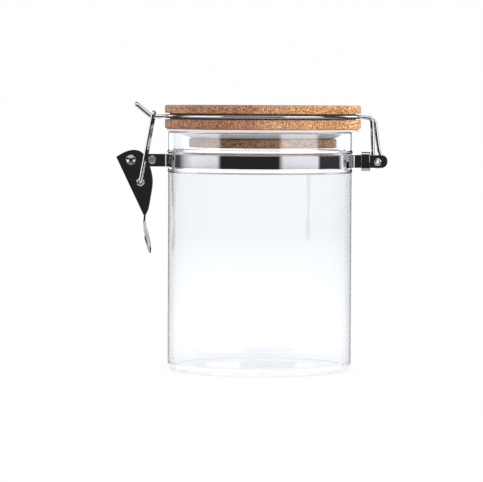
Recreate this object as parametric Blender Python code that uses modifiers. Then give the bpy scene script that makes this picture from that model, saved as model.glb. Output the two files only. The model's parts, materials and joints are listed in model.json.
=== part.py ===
"""Clamp-lid food canister: a straight glass jar, a grooved bamboo lid, a silicone seal and a steel toggle clamp.

Run with: blender --background --python part.py
Metres, +Z up. The origin is the centre of the jar's flat underside. The hinge is at +X and the latch at -X.
"""

import math

import bmesh
import bpy
from mathutils import Vector

MM = 0.001
ROUND_STEPS = 72
PIN_STEPS = 24
CUT_SPARE = 2.0 * MM

# Clearance between pieces that touch in the real object
FIT_GAP = 0.15 * MM

# Jar
JAR_RADIUS = 50.0 * MM
JAR_WALL = 2.0 * MM
JAR_HEIGHT = 129.8 * MM
JAR_FLOOR = 2.5 * MM
FLOOR_ROUND = 3.0 * MM
BASE_ROUND = 4.0 * MM
BEAD_HALF = 1.05 * MM
BEADS = ((118.65 * MM, 0.6 * MM), (108.5 * MM, 0.4 * MM))

# Lid: a board with a groove for the wire, a plug below it, and a seal held between them
LID_SHIFT = 1.5 * MM
BOARD_RADIUS = 53.4 * MM
BOARD_BOTTOM = 131.4 * MM
BOARD_TOP = 144.1 * MM
BOARD_ROUND = 0.8 * MM
GROOVE_RADIUS = 50.7 * MM
GROOVE_LOW = 136.3 * MM
GROOVE_HIGH = 139.8 * MM
PLUG_RADIUS = 40.2 * MM
PLUG_BOTTOM = 121.2 * MM
PLUG_TOP = 125.9 * MM
PLUG_ROUND = 0.6 * MM
NECK_RADIUS = 35.5 * MM
GLUE_GAP = 0.1 * MM
SEAL_RADIUS = 52.4 * MM
SEAL_LOW = 130.0 * MM
SEAL_LIP = 0.4 * MM
CONE_RADIUS = 45.7 * MM
CONE_SHOULDER = ((0.3 * MM, 0.9 * MM), (1.0 * MM, 1.7 * MM))
CONE_FOOT = 1.6 * MM

# Steel strap: two half bands round the neck, with flanges at both ends
STRAP_LOW = 110.4 * MM
STRAP_HIGH = 117.3 * MM
STRAP_THICK = 0.7 * MM
STRAP_GAP = 0.2 * MM
STRAP_BEND = 1.8 * MM
FLANGE_CORNER = 3.0 * MM
LATCH_FLANGE_END = -73.85 * MM
LATCH_FLANGE_Y = 1.05 * MM
EAR_END = 69.4 * MM
EAR_Y = 2.8 * MM

# Hinge and keeper
HINGE = Vector((64.3 * MM, 0.0, 113.6 * MM))
KEEPER_START = 55.4 * MM
KEEPER_WIDTH = 4.6 * MM
KEEPER_HEIGHT = 10.3 * MM
KEEPER_THICK = 0.8 * MM
KEEPER_CORNER = 1.6 * MM
KEEPER_GAP = 0.25 * MM

# Lid wire: one length of wire with an eye at each end, side by side on the hinge rivet
RING_WIRE = 1.05 * MM
RING_RADIUS = 52.0 * MM
RING_Z = 138.0 * MM
RING_EXIT_Z = 137.85 * MM
RING_TURN = 2.5 * MM
TWIN_Y = 1.15 * MM
EYE_RADIUS = 2.45 * MM
NEAR_LEG_X = 61.1 * MM
NEAR_LEG_BEND = 2.8 * MM
FAR_LEG_X = 63.0 * MM
FAR_LEG_BEND = 4.2 * MM
FAR_EYE_RUN = ((2.2 * MM, 2.1 * MM), (1.3 * MM, 4.3 * MM), (0.4 * MM, 6.7 * MM))
LEG_TOP_Z = 137.5 * MM
NOSE_Z = 137.7 * MM
NOSE_BEND_X = -58.3 * MM
NOSE_BEND = 3.5 * MM
NOSE_LEAD = 3.0 * MM
NOSE_ANGLE = 40.0
NOSE_LENGTH = 8.4 * MM
NOSE_STAGGER = 0.25 * MM

# Latch: a channel lever on the flanges, with a wire link that hooks over the nose
LEVER_PIVOT = Vector((-70.55 * MM, 0.0, 114.1 * MM))
LEVER_HALF = 2.2 * MM
LEVER_SHEET = 0.6 * MM
LEVER_HEEL = (-8.15 * MM, 1.55 * MM)
LEVER_TOE = (7.35 * MM, -31.0 * MM)
TAB_SHEET = 0.7 * MM
LINK_PIVOT = LEVER_PIVOT + Vector((5.3 * MM, 0.0, -12.2 * MM))
LINK_TOP = Vector((-58.2 * MM, 0.0, 140.05 * MM))
LINK_WIRE = 0.95 * MM
LINK_HALF = 3.9 * MM
LINK_BEND = 2.2 * MM
LINK_FOOT_BEND = 1.3 * MM
LINK_FOOT_END = 1.3 * MM
CHANNEL_OPEN = 12.0 * MM
CHANNEL_DEPTH = 30.0 * MM
TOE_WEB = 4.0 * MM

# Rivets
RUNNING_GAP = 0.15 * MM
HINGE_SHAFT = 1.2 * MM
HINGE_HEAD = 2.1 * MM
HINGE_BORE = 0.6 * MM
LATCH_RIVET_X = -59.05 * MM
LATCH_RIVET_SHAFT = 1.2 * MM
LATCH_RIVET_HEAD = 2.2 * MM
PIVOT_SHAFT = 1.5 * MM
PIVOT_HEAD = 2.7 * MM
PIVOT_BORE = 0.9 * MM
HEAD_THICK = 0.45 * MM
SPACER_HALF = 0.6 * MM
SPACER_RADIUS = 2.4 * MM
EYELET_BORE = 1.05 * MM
EYELET_TUBE = 1.45 * MM
EYELET_HEAD = 2.1 * MM
EYELET_LIP = 0.3 * MM

# Finishes: colour, roughness, metallic, alpha
GLASS = ((0.86, 0.92, 0.94), 0.03, 0.0, 0.3)
BAMBOO = ((0.62, 0.36, 0.2), 0.55, 0.0, 1.0)
SILICONE = ((0.84, 0.84, 0.82), 0.45, 0.0, 1.0)
STEEL = ((0.6, 0.6, 0.62), 0.16, 1.0, 1.0)


def clear_scene():
    for old in list(bpy.data.objects):
        bpy.data.objects.remove(old, do_unlink=True)


def new_collection(name):
    made = bpy.data.collections.new(name)
    bpy.context.scene.collection.children.link(made)
    return made


def material(name, finish):
    colour, roughness, metallic, alpha = finish
    made = bpy.data.materials.new(name)
    made.use_nodes = True
    shader = made.node_tree.nodes["Principled BSDF"]
    shader.inputs["Base Color"].default_value = (*colour, 1.0)
    shader.inputs["Roughness"].default_value = roughness
    shader.inputs["Metallic"].default_value = metallic
    shader.inputs["Alpha"].default_value = alpha
    made.diffuse_color = (*colour, alpha)
    return made


def add(name, data, collection, finish=None):
    """A new object from a mesh or a curve, with its own material if it has a finish."""
    made = bpy.data.objects.new(name, data)
    collection.objects.link(made)
    if finish:
        data.materials.append(material(name, finish))
    return made


def new_cutter(name, mesh):
    made = add(name, mesh, CUTTERS)
    made.hide_render = True
    made.display_type = "WIRE"
    return made


def combine(target, cutter, operation="DIFFERENCE"):
    cut = target.modifiers.new(cutter.name, "BOOLEAN")
    cut.operation = operation
    cut.object = cutter


def smooth(mesh):
    mesh.polygons.foreach_set("use_smooth", [True] * len(mesh.polygons))


def arc(centre, radius, start, stop, steps):
    """Points on a circle from start to stop, in degrees, with both ends."""
    angles = [math.radians(start + (stop - start) * i / steps) for i in range(steps + 1)]
    return [(centre[0] + radius * math.cos(a), centre[1] + radius * math.sin(a)) for a in angles]


def turned(name, outline, finish, steps=ROUND_STEPS, closed=False):
    """A solid of revolution about +Z from (radius, height) points that run down its outer side."""
    count = len(outline)
    edges = [(i, i + 1) for i in range(count - 1)]
    if closed:
        edges.append((count - 1, 0))
    mesh = bpy.data.meshes.new(name)
    mesh.from_pydata([(r, 0.0, z) for r, z in outline], edges, [])
    made = add(name, mesh, PARTS, finish)
    turn = made.modifiers.new("Turn", "SCREW")
    turn.steps = turn.render_steps = steps
    turn.use_merge_vertices = True
    turn.merge_threshold = 0.01 * MM
    turn.use_smooth_shade = True
    return made


def lay_across(made, place):
    """Turns a solid of revolution so that its axis runs along Y through place."""
    made.location = place
    made.rotation_euler = (math.radians(90.0), 0.0, 0.0)
    return made


def wire(name, points, radius, finish):
    """A round wire through the points, with filled ends."""
    curve = bpy.data.curves.new(name, "CURVE")
    curve.dimensions = "3D"
    curve.bevel_depth = radius
    curve.bevel_resolution = 2
    curve.use_fill_caps = True
    spline = curve.splines.new("POLY")
    spline.points.add(len(points) - 1)
    for point, place in zip(spline.points, points):
        point.co = (*place, 1.0)
    spline.use_smooth = True
    return add(name, curve, PARTS, finish)


def plate(name, outline, half_thickness):
    """A flat (x, z) outline thickened along Y, as a mesh with welded caps."""
    curve = bpy.data.curves.new(name, "CURVE")
    curve.dimensions = "2D"
    curve.fill_mode = "BOTH"
    curve.extrude = half_thickness
    spline = curve.splines.new("POLY")
    spline.points.add(len(outline) - 1)
    for point, (x, z) in zip(spline.points, outline):
        point.co = (x, z, 0.0, 1.0)
    spline.use_cyclic_u = True
    flat = add(name + "_outline", curve, CUTTERS)
    bpy.context.view_layer.update()
    mesh = bpy.data.meshes.new_from_object(flat.evaluated_get(bpy.context.evaluated_depsgraph_get()))
    mesh.name = name
    bpy.data.objects.remove(flat, do_unlink=True)
    shape = bmesh.new()
    shape.from_mesh(mesh)
    bmesh.ops.remove_doubles(shape, verts=shape.verts, dist=0.001 * MM)
    bmesh.ops.recalc_face_normals(shape, faces=shape.faces)
    shape.to_mesh(mesh)
    shape.free()
    return mesh


def pin_cutter(name, place, radius, half_length):
    """A round cutter along Y."""
    shape = bmesh.new()
    bmesh.ops.create_cone(
        shape,
        cap_ends=True,
        segments=PIN_STEPS,
        radius1=radius,
        radius2=radius,
        depth=2 * half_length,
    )
    mesh = bpy.data.meshes.new(name)
    shape.to_mesh(mesh)
    shape.free()
    return lay_across(new_cutter(name, mesh), place)


def sheet(name, rows, closed=False):
    """A mesh of quads between rows of points."""
    shape = bmesh.new()
    verts = [[shape.verts.new(point) for point in row] for row in rows]
    pairs = list(zip(verts, verts[1:]))
    if closed:
        pairs.append((verts[-1], verts[0]))
    for low, high in pairs:
        for i in range(len(low) - 1):
            shape.faces.new((low[i], low[i + 1], high[i + 1], high[i]))
    mesh = bpy.data.meshes.new(name)
    shape.to_mesh(mesh)
    shape.free()
    smooth(mesh)
    return mesh


def thicken(made, thickness):
    grow = made.modifiers.new("Sheet", "SOLIDIFY")
    grow.thickness = thickness
    grow.offset = 0.0
    grow.use_even_offset = True


# ---- jar ----


def jar_outline():
    inner = JAR_RADIUS - JAR_WALL
    rim = JAR_WALL / 2
    points = [(0.0, JAR_FLOOR)]
    points += arc((inner - FLOOR_ROUND, JAR_FLOOR + FLOOR_ROUND), FLOOR_ROUND, -90, 0, 4)
    points += arc((inner + rim, JAR_HEIGHT - rim), rim, 180, 0, 6)
    for height, proud in BEADS:
        for t in (1.0, 0.5, 0.0, -0.5, -1.0):
            points.append((JAR_RADIUS + proud * math.cos(t * math.pi / 2), height + t * BEAD_HALF))
    points += arc((JAR_RADIUS - BASE_ROUND, BASE_ROUND), BASE_ROUND, 0, -90, 4)
    points.append((0.0, 0.0))
    return points


def add_jar():
    turned("glass_jar", jar_outline(), GLASS)


# ---- lid ----


def board_outline():
    points = [(0.0, BOARD_TOP)]
    points += arc((BOARD_RADIUS - BOARD_ROUND, BOARD_TOP - BOARD_ROUND), BOARD_ROUND, 90, 0, 3)
    points += [
        (BOARD_RADIUS, GROOVE_HIGH),
        (GROOVE_RADIUS, GROOVE_HIGH),
        (GROOVE_RADIUS, GROOVE_LOW),
        (BOARD_RADIUS, GROOVE_LOW),
    ]
    points += arc((BOARD_RADIUS - BOARD_ROUND, BOARD_BOTTOM + BOARD_ROUND), BOARD_ROUND, 0, -90, 3)
    points.append((0.0, BOARD_BOTTOM))
    return points


def plug_outline():
    edge = PLUG_RADIUS - PLUG_ROUND
    points = [(0.0, BOARD_BOTTOM - GLUE_GAP), (NECK_RADIUS, BOARD_BOTTOM - GLUE_GAP), (NECK_RADIUS, PLUG_TOP)]
    points += arc((edge, PLUG_TOP - PLUG_ROUND), PLUG_ROUND, 90, 0, 2)
    points += arc((edge, PLUG_BOTTOM + PLUG_ROUND), PLUG_ROUND, 0, -90, 2)
    points.append((0.0, PLUG_BOTTOM))
    return points


def seal_outline():
    """A flat flange that rests on the rim, with a cone below it that enters the mouth."""
    inner = NECK_RADIUS + 2 * FIT_GAP
    top = BOARD_BOTTOM - FIT_GAP
    bottom = PLUG_TOP + 2 * FIT_GAP
    points = [
        (inner, top),
        (SEAL_RADIUS - SEAL_LIP, top),
        (SEAL_RADIUS, top - SEAL_LIP),
        (SEAL_RADIUS, SEAL_LOW + SEAL_LIP),
        (SEAL_RADIUS - SEAL_LIP, SEAL_LOW),
        (CONE_RADIUS, SEAL_LOW),
    ]
    points += [(CONE_RADIUS - inset, SEAL_LOW - drop) for inset, drop in CONE_SHOULDER]
    return points + [(PLUG_RADIUS - CONE_FOOT, bottom), (inner, bottom)]


def add_lid():
    board = turned("lid_board", board_outline(), BAMBOO)
    plug = turned("lid_plug", plug_outline(), BAMBOO)
    seal = turned("lid_seal", seal_outline(), SILICONE, closed=True)
    for piece in (board, plug, seal):
        piece.location.x = LID_SHIFT
    return [board, plug, seal]


# ---- strap ----


def strap_path():
    """Plan view of one half band, on its middle line, from the latch flange's end to the hinge ear's end."""
    radius = JAR_RADIUS + STRAP_GAP + STRAP_THICK / 2
    reach = radius + STRAP_BEND
    path = [(LATCH_FLANGE_END + d, LATCH_FLANGE_Y) for d, _ in corner_insets()]
    latch_rise = LATCH_FLANGE_Y + STRAP_BEND
    latch_angle = math.degrees(math.asin(latch_rise / reach))
    latch_bend = (-math.sqrt(reach**2 - latch_rise**2), latch_rise)
    path += arc(latch_bend, STRAP_BEND, -90, -latch_angle, 4)
    ear_rise = EAR_Y + STRAP_BEND
    ear_angle = math.degrees(math.asin(ear_rise / reach))
    step = 360 / ROUND_STEPS
    start = 180 - step * math.ceil(latch_angle / step)
    stop = step * math.ceil(ear_angle / step)
    path += arc((0.0, 0.0), radius, start, stop, round((start - stop) / step))
    ear_bend = (math.sqrt(reach**2 - ear_rise**2), ear_rise)
    path += arc(ear_bend, STRAP_BEND, 180 + ear_angle, 270, 4)
    path += [(EAR_END - d, EAR_Y) for d, _ in reversed(corner_insets())]
    return path


def corner_insets(steps=4):
    """How far the edge has drawn in at some distances from a flange's rounded end."""
    angles = [math.radians(90.0 * i / steps) for i in range(steps + 1)]
    return [(FLANGE_CORNER * (1 - math.cos(a)), FLANGE_CORNER * (1 - math.sin(a))) for a in angles]


def strap_inset(x):
    """How far the band's long edges draw in at x, which is only at its two ends."""
    depth = FLANGE_CORNER - min(x - LATCH_FLANGE_END, EAR_END - x, FLANGE_CORNER)
    return FLANGE_CORNER - math.sqrt(FLANGE_CORNER**2 - depth**2)


def add_strap(name, side):
    rows = []
    for x, y in strap_path():
        inset = strap_inset(x)
        rows.append([(x, side * y, STRAP_LOW + inset), (x, side * y, STRAP_HIGH - inset)])
    made = add(name, sheet(name, rows), PARTS, STEEL)
    thicken(made, STRAP_THICK)
    for cutter in STRAP_HOLES:
        combine(made, cutter)


def strap_hole_cutters():
    half = EAR_Y + CUT_SPARE
    latch_rivet = Vector((LATCH_RIVET_X, 0.0, LEVER_PIVOT.z))
    return [
        pin_cutter("hinge_hole", HINGE, HINGE_SHAFT + RUNNING_GAP, half),
        pin_cutter("latch_rivet_hole", latch_rivet, LATCH_RIVET_SHAFT + RUNNING_GAP, half),
        pin_cutter("lever_pivot_hole", LEVER_PIVOT, PIVOT_SHAFT + RUNNING_GAP, half),
    ]


def add_keeper():
    """The loop that holds the two hinge ears together."""
    half_y = EAR_Y + (STRAP_THICK + KEEPER_THICK) / 2 + KEEPER_GAP
    half_z = (KEEPER_HEIGHT - KEEPER_THICK) / 2
    middle = (STRAP_LOW + STRAP_HIGH) / 2
    path = []
    for corner, (sy, sz) in enumerate(((1, 1), (-1, 1), (-1, -1), (1, -1))):
        centre = (sy * (half_y - KEEPER_CORNER), middle + sz * (half_z - KEEPER_CORNER))
        path += arc(centre, KEEPER_CORNER, 90 * corner, 90 * corner + 90, 4)
    rows = [[(KEEPER_START, y, z), (KEEPER_START + KEEPER_WIDTH, y, z)] for y, z in path]
    made = add("keeper_clip", sheet("keeper_clip", rows, closed=True), PARTS, STEEL)
    thicken(made, KEEPER_THICK)


# ---- rivets ----


def rivet_outline(shaft, head, inner_face, head_thick, bore):
    """A rivet that holds the plates between its two heads, with a bore if it is tubular."""
    outer_face = inner_face + head_thick
    crown = head - head_thick / 2
    middle = inner_face + head_thick / 2
    upper = [(crown, outer_face), (head, middle), (crown, inner_face), (shaft, inner_face)]
    lower = [(r, -z) for r, z in reversed(upper)]
    return [(bore, outer_face)] + upper + lower + [(bore, -outer_face)]


def add_rivets():
    ear_face = EAR_Y + STRAP_THICK / 2 + FIT_GAP
    hinge = rivet_outline(HINGE_SHAFT, HINGE_HEAD, ear_face, HEAD_THICK, HINGE_BORE)
    lay_across(turned("hinge_rivet", hinge, STEEL, PIN_STEPS, closed=True), HINGE)
    lever_face = LEVER_HALF + FIT_GAP
    pivot = rivet_outline(PIVOT_SHAFT, PIVOT_HEAD, lever_face, HEAD_THICK, PIVOT_BORE)
    lay_across(turned("lever_pivot_rivet", pivot, STEEL, PIN_STEPS, closed=True), LEVER_PIVOT)
    flange_face = LATCH_FLANGE_Y + STRAP_THICK / 2 + FIT_GAP
    latch = rivet_outline(LATCH_RIVET_SHAFT, LATCH_RIVET_HEAD, flange_face, HEAD_THICK, 0.0)
    place = Vector((LATCH_RIVET_X, 0.0, LEVER_PIVOT.z))
    lay_across(turned("strap_rivet", latch, STEEL, PIN_STEPS), place)
    add_spacer("strap_rivet_spacer", LATCH_RIVET_SHAFT, place)
    add_spacer("lever_pivot_spacer", PIVOT_SHAFT, LEVER_PIVOT)


def add_spacer(name, shaft, place):
    inner = shaft + RUNNING_GAP
    outline = [
        (inner, SPACER_HALF),
        (SPACER_RADIUS, SPACER_HALF),
        (SPACER_RADIUS, -SPACER_HALF),
        (inner, -SPACER_HALF),
    ]
    lay_across(turned(name, outline, STEEL, PIN_STEPS, closed=True), place)


# ---- lid wire ----


def near_eye():
    """From the near eye's free end round the rivet and up the leg, as (x, z)."""
    points = arc((HINGE.x, HINGE.z), EYE_RADIUS, 425, 180, 12)
    centre = (NEAR_LEG_X - NEAR_LEG_BEND, LEG_TOP_Z - NEAR_LEG_BEND)
    return points + arc(centre, NEAR_LEG_BEND, 0, 90, 5)


def far_eye():
    """From the far eye's free end round the rivet the other way and up the leg, as (x, z)."""
    points = arc((HINGE.x, HINGE.z), EYE_RADIUS, -245, 0, 12)
    points += [(HINGE.x + x, HINGE.z + z) for x, z in FAR_EYE_RUN]
    centre = (FAR_LEG_X - FAR_LEG_BEND, LEG_TOP_Z - FAR_LEG_BEND)
    return points + arc(centre, FAR_LEG_BEND, 0, 90, 6)


def half_ring(side):
    """From the hinge side to the latch side, as (x, y, z): a turn, half of the ring, and a turn."""
    reach = RING_RADIUS + RING_TURN
    rise = TWIN_Y + RING_TURN
    angle = math.degrees(math.asin(rise / reach))
    run = math.sqrt(reach**2 - rise**2)
    turn_in = arc((LID_SHIFT + run, -rise), RING_TURN, 90, 180 - angle, 4)
    ring = arc((LID_SHIFT, 0.0), RING_RADIUS, -angle, angle - 180, 32)
    turn_out = arc((LID_SHIFT - run, -rise), RING_TURN, angle, 90, 4)
    points = []
    for part, start, stop in (
        (turn_in, RING_EXIT_Z, RING_Z),
        (ring[1:-1], RING_Z, RING_Z),
        (turn_out, RING_Z, RING_EXIT_Z),
    ):
        for i, (x, y) in enumerate(part):
            points.append((x, -side * y, start + (stop - start) * i / (len(part) - 1)))
    return points


def nose_side(side):
    """From the ring out to the start of the nose's end turn, as (x, y, z). The far side lies a little higher."""
    points = [(NOSE_BEND_X + NOSE_LEAD, side * TWIN_Y, NOSE_Z)]
    steps = 4
    for i, (x, z) in enumerate(arc((NOSE_BEND_X, NOSE_Z + NOSE_BEND), NOSE_BEND, -90, -90 - NOSE_ANGLE, steps)):
        points.append((x, side * TWIN_Y, z + side * NOSE_STAGGER * i / steps))
    x, y, z = points[-1]
    ahead = nose_direction() * NOSE_LENGTH
    return points + [(x + ahead.x, y, z + ahead.z)]


def nose_direction():
    slope = math.radians(NOSE_ANGLE)
    return Vector((-math.cos(slope), 0.0, math.sin(slope)))


def nose_end():
    """The half turn that joins the two sides of the nose."""
    near, far = Vector(nose_side(-1)[-1]), Vector(nose_side(1)[-1])
    middle = (near + far) / 2
    half = (far - near) / 2
    turn = arc((0.0, 0.0), 1.0, -90, 90, 6)[1:-1]
    return [middle + nose_direction() * (TWIN_Y * ahead) + half * across for ahead, across in turn]


def add_lid_wire():
    near = [(x, -TWIN_Y, z) for x, z in near_eye()]
    far = [(x, TWIN_Y, z) for x, z in far_eye()]
    near += half_ring(-1) + nose_side(-1)
    far += half_ring(1) + nose_side(1)
    return wire("lid_wire_ring", near + nose_end() + far[::-1], RING_WIRE, STEEL)


# ---- latch ----


def lever_outline():
    """The side plate, as (x, z) from the pivot: the toe, the lobe that meets the rivet, the crown and the heel."""
    lobe = [(9.1, -28.0), (9.9, -24.5), (10.7, -19.5), (11.6, -14.0), (11.6, -10.5), (11.05, -7.0), (10.1, -3.8)]
    crown = [(9.1, -1.7), (7.0, 2.6), (4.6, 4.8), (1.4, 5.5), (-1.8, 4.9), (-4.6, 3.7), (-7.0, 2.2)]
    return [LEVER_TOE] + [(x * MM, z * MM) for x, z in lobe + crown] + [LEVER_HEEL]


def channel_cutter():
    """The space between the two side plates, which leaves the lever's spine."""
    heel = Vector((LEVER_HEEL[0], 0.0, LEVER_HEEL[1]))
    spine = Vector((LEVER_TOE[0], 0.0, LEVER_TOE[1])) - heel
    along = spine.normalized()
    inward = Vector((-along.z, 0.0, along.x))
    corners = []
    for ahead, across in (
        (-CHANNEL_OPEN, LEVER_SHEET),
        (spine.length - TOE_WEB, LEVER_SHEET),
        (spine.length - TOE_WEB, CHANNEL_DEPTH),
        (-CHANNEL_OPEN, CHANNEL_DEPTH),
    ):
        corner = LEVER_PIVOT + heel + along * ahead + inward * across
        corners.append((corner.x, corner.z))
    return upright(new_cutter("lever_channel", plate("lever_channel", corners, LEVER_HALF - LEVER_SHEET)))


def upright(made):
    """Stands a flat outline up, so that its second axis is +Z."""
    made.rotation_euler = (math.radians(90.0), 0.0, 0.0)
    return made


def tab_cutter():
    """The dished finger tab below the toe, hollow on the side away from the jar."""
    stations = (
        (7.5, -29.6, 1.8, 0.0),
        (7.3, -32.4, 1.7, 0.0),
        (7.15, -34.6, 2.6, 0.4),
        (7.25, -38.4, 4.4, 1.2),
        (8.3, -43.0, 5.4, 1.6),
        (9.3, -46.8, 5.0, 1.2),
        (10.0, -49.4, 3.6, 0.6),
        (10.4, -51.0, 1.6, 0.1),
    )
    rows = []
    for x, z, half, bulge in stations:
        row = []
        for u in (-1.0, -0.67, -0.33, 0.0, 0.33, 0.67, 1.0):
            place = Vector((x + bulge * (1 - u * u), u * half, z)) * MM
            row.append(LEVER_PIVOT + place)
        rows.append(row)
    made = new_cutter("lever_tab", sheet("lever_tab", rows))
    thicken(made, TAB_SHEET)
    return made


def add_lever():
    outline = [(LEVER_PIVOT.x + x, LEVER_PIVOT.z + z) for x, z in lever_outline()]
    made = upright(add("latch_lever", plate("latch_lever", outline, LEVER_HALF), PARTS, STEEL))
    combine(made, channel_cutter())
    combine(made, tab_cutter(), "UNION")
    half = LEVER_HALF + CUT_SPARE
    combine(made, pin_cutter("lever_pivot_bore", LEVER_PIVOT, PIVOT_SHAFT + RUNNING_GAP, half))
    combine(made, pin_cutter("eyelet_bore", LINK_PIVOT, EYELET_TUBE + RUNNING_GAP, half))
    return made


def add_eyelet(name, side):
    """A flanged tube in one side plate, which the link's foot turns in."""
    inner = LEVER_HALF - LEVER_SHEET - FIT_GAP
    face = LEVER_HALF + FIT_GAP
    outline = [
        (EYELET_BORE, face + EYELET_LIP),
        (EYELET_HEAD - EYELET_LIP / 2, face + EYELET_LIP),
        (EYELET_HEAD, face + EYELET_LIP / 2),
        (EYELET_HEAD - EYELET_LIP / 2, face),
        (EYELET_TUBE, face),
        (EYELET_TUBE, inner),
        (EYELET_BORE, inner),
    ]
    made = turned(name, outline, STEEL, PIN_STEPS, closed=True)
    made.location = LINK_PIVOT
    made.rotation_euler = (math.radians(-90.0 * side), 0.0, 0.0)
    return made


def link_half():
    """One foot, bend, leg and top corner of the link, as (across, along the leg)."""
    length = (LINK_TOP - LINK_PIVOT).length
    points = [(-LINK_FOOT_END, 0.0)]
    foot = (LINK_FOOT_BEND - LINK_HALF, LINK_FOOT_BEND)
    points += arc(foot, LINK_FOOT_BEND, -90, -180, 4)
    corner = (LINK_BEND - LINK_HALF, length - LINK_BEND)
    points += arc(corner, LINK_BEND, 180, 90, 4)
    return points


def add_link():
    up = (LINK_TOP - LINK_PIVOT).normalized()
    near = link_half()
    far = [(-y, ahead) for y, ahead in reversed(near)]
    points = [LINK_PIVOT + up * ahead + Vector((0.0, y, 0.0)) for y, ahead in near + far]
    return wire("link_wire", points, LINK_WIRE, STEEL)


# ---- assembly ----


def add_axis(name, place, parent=None):
    """An empty on a joint's axis."""
    made = bpy.data.objects.new(name, None)
    PARTS.objects.link(made)
    made.empty_display_size = 5 * MM
    made.location = place
    if parent:
        hang([made], parent)
    return made


def hang(pieces, parent):
    """Parents the pieces without moving them."""
    bpy.context.view_layer.update()
    for piece in pieces:
        piece.parent = parent
        piece.matrix_parent_inverse = parent.matrix_world.inverted()


def build():
    add_jar()
    add_strap("strap_front", -1)
    add_strap("strap_rear", 1)
    add_keeper()
    add_rivets()
    lid_axis = add_axis("lid_hinge_axis", HINGE)
    hang([add_lid_wire()], lid_axis)
    turn_axis = add_axis("lid_turn_axis", Vector((LID_SHIFT, 0.0, RING_Z)), lid_axis)
    hang(add_lid(), turn_axis)
    lever_axis = add_axis("latch_lever_axis", LEVER_PIVOT)
    hang([add_lever(), add_eyelet("link_eyelet_front", -1), add_eyelet("link_eyelet_rear", 1)], lever_axis)
    link_axis = add_axis("link_swing_axis", LINK_PIVOT, lever_axis)
    hang([add_link()], link_axis)


clear_scene()
PARTS = new_collection("food_canister")
CUTTERS = new_collection("cutters")
STRAP_HOLES = strap_hole_cutters()
build()
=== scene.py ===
"""Looks for the clamp-lid food canister: fine surfaces, materials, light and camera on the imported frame."""

import json
import math

import bmesh
import bpy
from mathutils import Matrix, Vector

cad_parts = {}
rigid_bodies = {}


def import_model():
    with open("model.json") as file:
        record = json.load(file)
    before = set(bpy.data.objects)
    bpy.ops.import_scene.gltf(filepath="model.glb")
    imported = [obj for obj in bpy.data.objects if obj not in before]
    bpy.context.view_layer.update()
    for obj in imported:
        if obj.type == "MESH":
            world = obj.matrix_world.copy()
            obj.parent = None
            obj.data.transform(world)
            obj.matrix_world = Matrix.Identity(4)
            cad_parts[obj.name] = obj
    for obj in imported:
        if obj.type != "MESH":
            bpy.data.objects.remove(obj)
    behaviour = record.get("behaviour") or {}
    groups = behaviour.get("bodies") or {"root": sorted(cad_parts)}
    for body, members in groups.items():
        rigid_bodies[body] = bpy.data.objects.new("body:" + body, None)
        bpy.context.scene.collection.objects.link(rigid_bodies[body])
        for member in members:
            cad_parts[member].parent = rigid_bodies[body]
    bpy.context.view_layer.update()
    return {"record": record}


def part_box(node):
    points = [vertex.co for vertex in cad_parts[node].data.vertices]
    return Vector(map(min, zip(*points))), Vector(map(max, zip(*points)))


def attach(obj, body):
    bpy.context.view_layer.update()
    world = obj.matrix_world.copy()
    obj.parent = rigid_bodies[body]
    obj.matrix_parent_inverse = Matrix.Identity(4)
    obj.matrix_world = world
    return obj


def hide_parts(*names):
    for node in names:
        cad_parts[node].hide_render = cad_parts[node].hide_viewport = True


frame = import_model()

MM = 0.001
ROUND_STEPS = 192
PIN_STEPS = 48
HOLD = 0.06 * MM  # how close to a corner a straight run keeps a point of its own

# ---- places, all from the frame ----

JOINTS = {joint["name"]: joint for joint in frame["record"]["behaviour"]["joints"]}
HINGE = Vector(JOINTS["lid_hinge"]["pos_m"])
LEVER_PIVOT = Vector(JOINTS["latch_lever"]["pos_m"])
LINK_PIVOT = Vector(JOINTS["link_swing"]["pos_m"])

BEAD_PROUD = 0.6 * MM
JAR_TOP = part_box("glass_jar")[1]
JAR_RADIUS = JAR_TOP.x - BEAD_PROUD
JAR_WALL = 2.0 * MM
BASE_ROUND = 4.0 * MM

BOARD_LOW, BOARD_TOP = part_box("lid_board")
LID_X = (BOARD_LOW.x + BOARD_TOP.x) / 2
BOARD_RADIUS = BOARD_TOP.x - LID_X
PLUG_LOW, PLUG_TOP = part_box("lid_plug")
PLUG_RADIUS = PLUG_TOP.x - LID_X
SEAL_LOW, SEAL_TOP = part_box("lid_seal")
SEAL_RADIUS = SEAL_TOP.x - LID_X

STRAP_LOW, STRAP_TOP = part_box("strap_rear")
KEEPER_LOW, KEEPER_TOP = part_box("keeper_clip")
RIVET_LOW, RIVET_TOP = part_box("strap_rivet")
RING_LOW, RING_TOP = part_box("lid_wire_ring")


RIVET_HOLE = 1.35 * MM
PIVOT_HOLE = 1.65 * MM
EYELET_HOLE = 1.6 * MM


# ---- shape helpers ----


def arc(centre, radius, start, stop, steps):
    """Points on a circle from start to stop, in degrees, with both ends."""
    angles = [math.radians(start + (stop - start) * i / steps) for i in range(steps + 1)]
    return [(centre[0] + radius * math.cos(a), centre[1] + radius * math.sin(a)) for a in angles]


def add(name, data, shader, body=None):
    made = bpy.data.objects.new(name, data)
    bpy.context.scene.collection.objects.link(made)
    if shader:
        data.materials.append(shader)
    if body:
        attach(made, body)
    return made


def smooth(mesh):
    mesh.polygons.foreach_set("use_smooth", [True] * len(mesh.polygons))


def mesh_from(shape, name):
    mesh = bpy.data.meshes.new(name)
    shape.to_mesh(mesh)
    shape.free()
    return mesh


def finished(shape, name, doubles=0.0005 * MM):
    """Turns a bmesh into a smooth mesh whose faces look outward."""
    bmesh.ops.remove_doubles(shape, verts=shape.verts, dist=doubles)
    bmesh.ops.recalc_face_normals(shape, faces=shape.faces)
    mesh = mesh_from(shape, name)
    smooth(mesh)
    return mesh


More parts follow.
